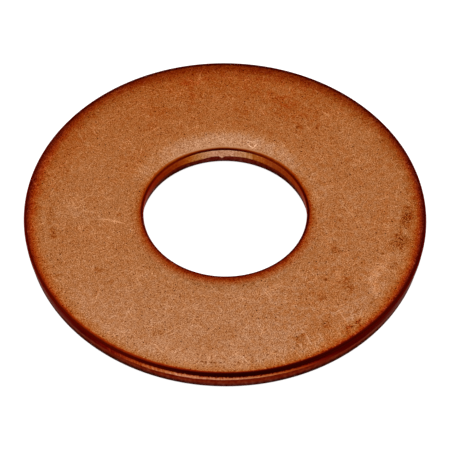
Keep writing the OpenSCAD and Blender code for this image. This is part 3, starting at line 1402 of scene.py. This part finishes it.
@dataclass
class Washer:
    """The stamped washer: its section, its two walls and the density of its mesh.

    Attributes:
        section: Sizes of the half section.
        around: Vertices in a ring.
        face_rows: Rings across each flat face.
        shoulder_rows: Rings across the shoulder of a roll.
        nose_rows: Rings round a nose.
        sheared_rows: Rings down a sheared band.
        torn_rows: Rings down a torn band.
        edge_rows: Rings round a lower edge.
        draft: How far a sheared band has drawn in by its shear line.
        ledge: How far the tear steps back at the shear line.
        undercut: How far the tear drops straight down at the shear line.
        tear_depth: Depth of the torn band's roughness.
        tear_grain: Length over which that roughness changes.
        jag_grain: Length over which a shear line wanders.
    """

    # Roughness of the noise, the step between its octaves, and how many it has
    FRACTAL: ClassVar[tuple[float, float, int]] = (1.0, 2.0, 4)
    # How much the roughness of the tear is drawn out down the wall, and the offset of its noise
    TEAR_STRETCH: ClassVar[float] = 0.4
    TEAR_SEED: ClassVar[float] = 40.0
    # Share of the ledge and the roughness's rise that is there at the shear line itself
    TEAR_RISE: ClassVar[float] = 0.12
    # Single features of the two shear lines
    RIM_TONGUES: ClassVar[tuple[Tongue, ...]] = (
        Tongue(268.0, 14.0 * MM, -0.04 * MM),
        Tongue(262.0, 0.8 * MM, 0.05 * MM),
        Tongue(284.0, 6.0 * MM, -0.09 * MM),
    )
    BORE_TONGUES: ClassVar[tuple[Tongue, ...]] = (
        Tongue(92.7, 0.36 * MM, 0.24 * MM),
        Tongue(72.0, 1.6 * MM, -0.06 * MM),
        Tongue(110.0, 2.6 * MM, 0.1 * MM),
    )

    section: Section
    around: int = 640
    face_rows: int = 6
    shoulder_rows: int = 12
    nose_rows: int = 12
    sheared_rows: int = 6
    torn_rows: int = 20
    edge_rows: int = 8
    draft: float = 0.05 * MM
    ledge: float = 0.02 * MM
    undercut: float = 0.01 * MM
    tear_depth: float = 0.05 * MM
    tear_grain: float = 0.35 * MM
    jag_grain: float = 1.1 * MM

    def __post_init__(self) -> None:
        """Lays out the angles and the two walls."""
        size = self.section
        self.turn = np.linspace(0, 2 * math.pi, self.around, endpoint=False)
        self.rim = Wall(
            radius=size.outer_r,
            outward=1,
            torn_h=size.rim_torn_h,
            lift=0.05 * MM,
            jag=0.05 * MM,
            burnish=90.0,
            seed=3.1,
            tongues=self.RIM_TONGUES,
        )
        self.bore = Wall(
            radius=size.bore_r,
            outward=-1,
            torn_h=size.bore_torn_h,
            lift=0.12 * MM,
            jag=0.05 * MM,
            burnish=80.0,
            seed=17.7,
            tongues=self.BORE_TONGUES,
        )

    def spread(self, wall: Wall, height: np.ndarray, grain: float, seed: float) -> np.ndarray:
        """Reads noise along a ring of a wall.

        Args:
            wall: The wall that the ring is on.
            height: Height at each angle.
            grain: Length over which the noise changes.
            seed: Offset of the noise.

        Returns:
            Noise at each angle, about -1 to 1.
        """
        across = wall.radius / grain
        up = height / grain + seed + wall.seed
        points = zip(np.cos(self.turn) * across, np.sin(self.turn) * across, up)
        return np.array([noise.fractal(Vector(point), *self.FRACTAL) for point in points])

    def shear_line(self, wall: Wall) -> np.ndarray:
        """Works out the height of a wall's shear line.

        Args:
            wall: The wall that the line is on.

        Returns:
            Height at each angle.
        """
        level = np.zeros(self.around)
        line = wall.torn_h + wall.lift + wall.jag * self.spread(wall, level, self.jag_grain, 0.0)
        for tongue in wall.tongues:
            off = np.angle(np.exp(1j * (self.turn - math.radians(tongue.angle)))) * wall.radius
            line -= tongue.drop * np.exp(-((2 * off / tongue.width) ** 2))
        return line

    def rolled_rows(self, wall: Wall) -> list[Row]:
        """Makes the rings of a rolled edge.

        Args:
            wall: The wall below the edge.

        Returns:
            The rings, from the face down to the sheared wall.
        """
        size = self.section
        flat = np.ones(self.around)
        rows = []
        for turn in np.linspace(0, size.shoulder_turn, self.shoulder_rows, endpoint=False):
            inset = size.roll_w - size.shoulder_r * math.sin(turn)
            height = size.thickness - size.shoulder_r * (1 - math.cos(turn))
            rows.append(Row((wall.radius - wall.outward * inset) * flat, height * flat, Zone.TUMBLED))
        for turn in np.linspace(size.shoulder_turn, math.pi / 2, self.nose_rows, endpoint=False):
            inset = size.nose_r * (1 - math.sin(turn))
            height = size.wall_top + size.nose_r * math.cos(turn)
            zone = Zone.SHEARED if math.degrees(turn) > wall.burnish else Zone.TUMBLED
            rows.append(Row((wall.radius - wall.outward * inset) * flat, height * flat, zone))
        return rows

    def wall_rows(self, wall: Wall) -> list[Row]:
        """Makes the rings of a sheared and torn wall and its lower edge.

        Args:
            wall: The wall.

        Returns:
            The rings, from the nose down to the lower face.
        """
        size = self.section
        flat = np.ones(self.around)
        line = self.shear_line(wall)
        rows = []
        for part in np.linspace(0, 1, self.sheared_rows, endpoint=False):
            radius = wall.radius - wall.outward * self.draft * part
            rows.append(Row(radius * flat, size.wall_top + (line - size.wall_top) * part, Zone.SHEARED))
        rows.append(Row((wall.radius - wall.outward * self.draft) * flat, line, Zone.TORN, sharp=True))
        lean = math.atan2(size.torn_lean, wall.torn_h)
        edge_top = size.edge_r * (1 - math.sin(lean))
        for part in np.linspace(0, 1, self.torn_rows):
            height = line + (edge_top - line) * part - self.undercut * (1 - part)
            lean_back = size.torn_lean * np.clip(1 - height / wall.torn_h, 0, None)
            wander = self.spread(wall, height * self.TEAR_STRETCH, self.tear_grain, self.TEAR_SEED)
            rough = np.clip((1 + wander) / 2, 0, 1)
            rise = math.sin(math.pi * (self.TEAR_RISE + (1 - self.TEAR_RISE) * part))
            inset = lean_back + self.draft * (1 - part) + rise * (self.ledge + self.tear_depth * rough)
            rows.append(Row(wall.radius - wall.outward * inset, height, Zone.TORN))
        rows[-1].zone = Zone.FOOT
        edge_x = size.torn_lean * (1 - size.edge_r / wall.torn_h) + size.edge_r / math.cos(lean)
        for turn in np.linspace(lean, math.pi / 2, self.edge_rows + 1)[1:]:
            inset = edge_x - size.edge_r * math.cos(turn)
            height = size.edge_r * (1 - math.sin(turn))
            rows.append(Row((wall.radius - wall.outward * inset) * flat, height * flat, Zone.FOOT))
        rows[-1].zone = Zone.TUMBLED
        return rows

    def face_between(self, start: Row, end: Row) -> list[Row]:
        """Makes the rings of a flat face.

        Args:
            start: The ring before the face.
            end: The ring after it.

        Returns:
            The rings between those two.
        """
        parts = np.linspace(0, 1, self.face_rows + 2)[1:-1]
        across = end.radius - start.radius
        return [Row(start.radius + across * part, start.height, Zone.TUMBLED) for part in parts]

    def all_rows(self) -> list[Row]:
        """Makes every ring.

        Returns:
            The rings of the rim, the lower face, the bore and the upper face.
        """
        rim = self.rolled_rows(self.rim) + self.wall_rows(self.rim)
        bore = self.rolled_rows(self.bore) + self.wall_rows(self.bore)
        bore.reverse()
        # A strip has its finish from the ring that it starts at, which is the lower one from here on
        for row, above in zip(bore, bore[1:]):
            row.zone = above.zone
        return rim + self.face_between(rim[-1], bore[0]) + bore + self.face_between(bore[-1], rim[0])

    def build(self) -> bpy.types.Object:
        """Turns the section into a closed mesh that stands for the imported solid.

        Returns:
            The washer's object.
        """
        rows = self.all_rows()
        cos, sin = np.cos(self.turn), np.sin(self.turn)
        places = [np.stack([row.radius * cos, row.radius * sin, row.height], axis=1) for row in rows]
        start = np.arange(len(rows) * self.around).reshape(len(rows), self.around)
        after = np.roll(start, -1, axis=1)
        quads = np.stack([start, np.roll(start, -1, axis=0), np.roll(after, -1, axis=0), after], axis=-1)
        quads = quads.reshape(-1, 4)
        mesh = bpy.data.meshes.new("washer_copper")
        mesh.from_pydata(np.concatenate(places).tolist(), [], quads.tolist())
        mesh.polygons.foreach_set("material_index", np.repeat([row.zone.value for row in rows], self.around))
        mesh.polygons.foreach_set("use_smooth", np.ones(len(quads), dtype=bool))
        self.sharpen(mesh, [row.sharp for row in rows])
        piece = bpy.data.objects.new("washer_copper", mesh)
        bpy.context.scene.collection.objects.link(piece)
        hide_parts(NODE)
        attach(piece, BODY)
        return piece

    def sharpen(self, mesh: bpy.types.Mesh, sharp: Sequence[bool]) -> None:
        """Breaks the smooth shading along the rings that are sharp.

        Args:
            mesh: The washer's mesh.
            sharp: Whether each ring is sharp.
        """
        ends = np.empty(len(mesh.edges) * 2, dtype=np.int32)
        mesh.edges.foreach_get("vertices", ends)
        rings = ends.reshape(-1, 2) // self.around
        marks = (rings[:, 0] == rings[:, 1]) & np.array(sharp)[rings[:, 0]]
        mesh.edges.foreach_set("use_edge_sharp", marks)

    def dress(self, piece: bpy.types.Object, effects: Effects) -> None:
        """Gives the washer its finishes, zone by zone.

        Args:
            piece: The washer's object.
            effects: The shared effects.
        """
        finishes = {
            Zone.TUMBLED: TumbledFinish(),
            Zone.SHEARED: ShearedFinish(),
            Zone.TORN: TornFinish(),
            Zone.FOOT: FootFinish(),
        }
        for zone in Zone:
            piece.data.materials.append(finishes[zone].make(effects))


@dataclass(frozen=True)
class Studio:
    """The pale floor, the soft light overhead, the dim room and the camera.

    Attributes:
        elevation: Height of the camera above the horizon, in degrees.
        distance: From the camera to the point that it looks at.
        roll: Turn of the camera about its own axis, in degrees.
        lens_mm: Focal length on the sensor.
        sensor_mm: Width of the sensor.
        near: Distance from which the camera sees.
        aim_z: Height of the point on the washer's axis that the camera looks at.
        light_z: Height of the soft light.
        light_w: Diameter of the soft light.
        light_level: Brightness of the soft light, where 1 shows white as white.
        room: Colour of the room's own light.
        floor_w: Width of the floor.
        floor_z: Height of the floor, a hair below the washer.
        floor_level: Lightness of the floor.
        floor_roughness: Roughness of the floor.
        floor_glow: What the eye and mirror surfaces see added to the lit floor.
    """

    elevation: float = 51.153
    distance: float = 217.2 * MM
    roll: float = 0.585
    lens_mm: float = 198.5
    sensor_mm: float = 36.0
    near: float = 10 * MM
    aim_z: float = 0.19 * MM
    light_z: float = 360 * MM
    light_w: float = 1200 * MM
    light_level: float = 0.79
    room: tuple[float, float, float] = (0.33, 0.32, 0.31)
    floor_w: float = 3.0
    floor_z: float = -0.02 * MM
    floor_level: float = 0.7
    floor_roughness: float = 0.9
    floor_glow: float = 0.8

    def shoot(self) -> None:
        """Sets the camera at the photograph's view."""
        data = bpy.data.cameras.new("camera")
        data.lens = self.lens_mm
        data.sensor_width = self.sensor_mm
        data.clip_start = self.near
        camera = bpy.data.objects.new("camera", data)
        up = math.radians(self.elevation)
        back = Vector((0, -math.cos(up), math.sin(up)))
        right = Vector((1, 0, 0))
        level = Matrix((right, back.cross(right), back)).transposed()
        turned = Matrix.Rotation(math.radians(self.roll), 3, back) @ level
        place = Vector((0, 0, self.aim_z)) + back * self.distance
        camera.matrix_world = Matrix.Translation(place) @ turned.to_4x4()
        bpy.context.scene.collection.objects.link(camera)
        bpy.context.scene.camera = camera

    def light(self) -> None:
        """Hangs the soft light and sets the room's own dim light."""
        data = bpy.data.lights.new("soft_light", "AREA")
        data.shape = "DISK"
        data.size = self.light_w
        data.energy = self.light_level * math.pi * math.pi * (self.light_w / 2) ** 2
        lamp = bpy.data.objects.new("soft_light", data)
        lamp.location = (0, 0, self.light_z)
        bpy.context.scene.collection.objects.link(lamp)
        world = bpy.data.worlds.new("room")
        world.use_nodes = True
        world.node_tree.nodes["Background"].inputs["Color"].default_value = (*self.room, 1)
        bpy.context.scene.world = world

    def lay_floor(self) -> None:
        """Lays the pale floor, which stays white to the eye and takes the washer's shadow."""
        half = self.floor_w / 2
        corners = [(-half, -half, 0), (half, -half, 0), (half, half, 0), (-half, half, 0)]
        mesh = bpy.data.meshes.new("floor")
        mesh.from_pydata(corners, [], [(0, 1, 2, 3)])
        floor = bpy.data.objects.new("floor", mesh)
        floor.location.z = self.floor_z
        bpy.context.scene.collection.objects.link(floor)
        material = bpy.data.materials.new("pale_floor")
        material.use_nodes = True
        graph = Graph(material.node_tree)
        shader = material.node_tree.nodes["Principled BSDF"]
        path = graph.node("ShaderNodeLightPath", {}).outputs
        seen = graph.math("MAXIMUM", path["Is Camera Ray"], path["Is Glossy Ray"])
        seen = graph.math("MAXIMUM", seen, path["Is Transmission Ray"])
        plain = {
            "Base Color": (self.floor_level, self.floor_level, self.floor_level, 1),
            "Roughness": self.floor_roughness,
            "Specular IOR Level": 0.0,
            "Emission Color": (1, 1, 1, 1),
            "Emission Strength": graph.times(seen, self.floor_glow),
        }
        graph.feed(shader, plain)
        mesh.materials.append(material)

    def build(self) -> None:
        """Makes the whole stage."""
        bpy.context.scene.view_settings.view_transform = "Standard"
        self.shoot()
        self.light()
        self.lay_floor()


def main() -> None:
    logging.basicConfig(level=logging.INFO, format="%(message)s")
    section = Section.of_frame()
    washer = Washer(section)
    piece = washer.build()
    washer.dress(piece, Effects((section.outer_r + section.bore_r) / 2 / MM))
    LOG.info("%s: %d faces, %d finishes", piece.name, len(piece.data.polygons), len(piece.data.materials))
    Studio().build()
    LOG.info("floor, soft light, room and camera set")


if __name__ == "__main__":
    main()
